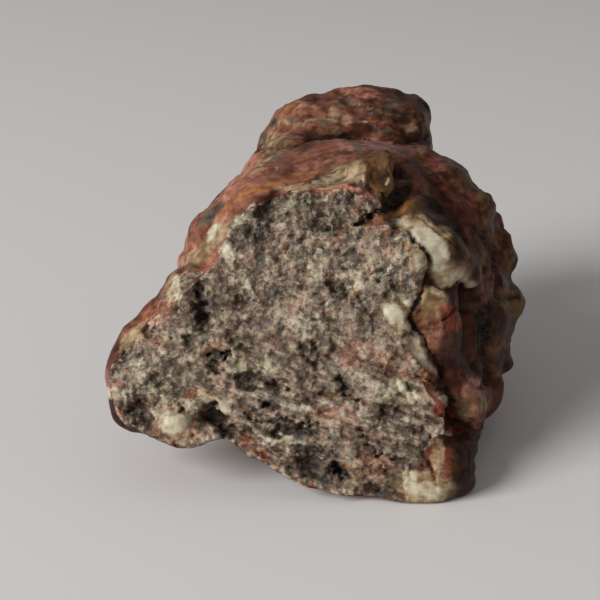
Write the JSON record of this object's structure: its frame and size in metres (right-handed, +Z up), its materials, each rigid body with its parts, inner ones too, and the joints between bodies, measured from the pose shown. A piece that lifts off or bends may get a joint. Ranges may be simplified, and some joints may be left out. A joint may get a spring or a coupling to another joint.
{
  "type": "flower stone",
  "caption": "Water-worn lump of red jasper and cream quartz with a rough broken face, a beaded skin and a knob at the back, lying on a worn flat underside.",
  "frame": {"origin": "centre of the footprint of the whole stone, on the plane that it rests on", "axes": "+Z up as it lies, -Y the side of the broken face, +Y the longest way through the stone to the knob, +X to the right of the face"},
  "size_m": [0.076, 0.09, 0.0544],
  "materials": {
    "stone": "satin"
  },
  "bodies": {
    "root": {"stone": "stone"}
  },
  "joints": []
}
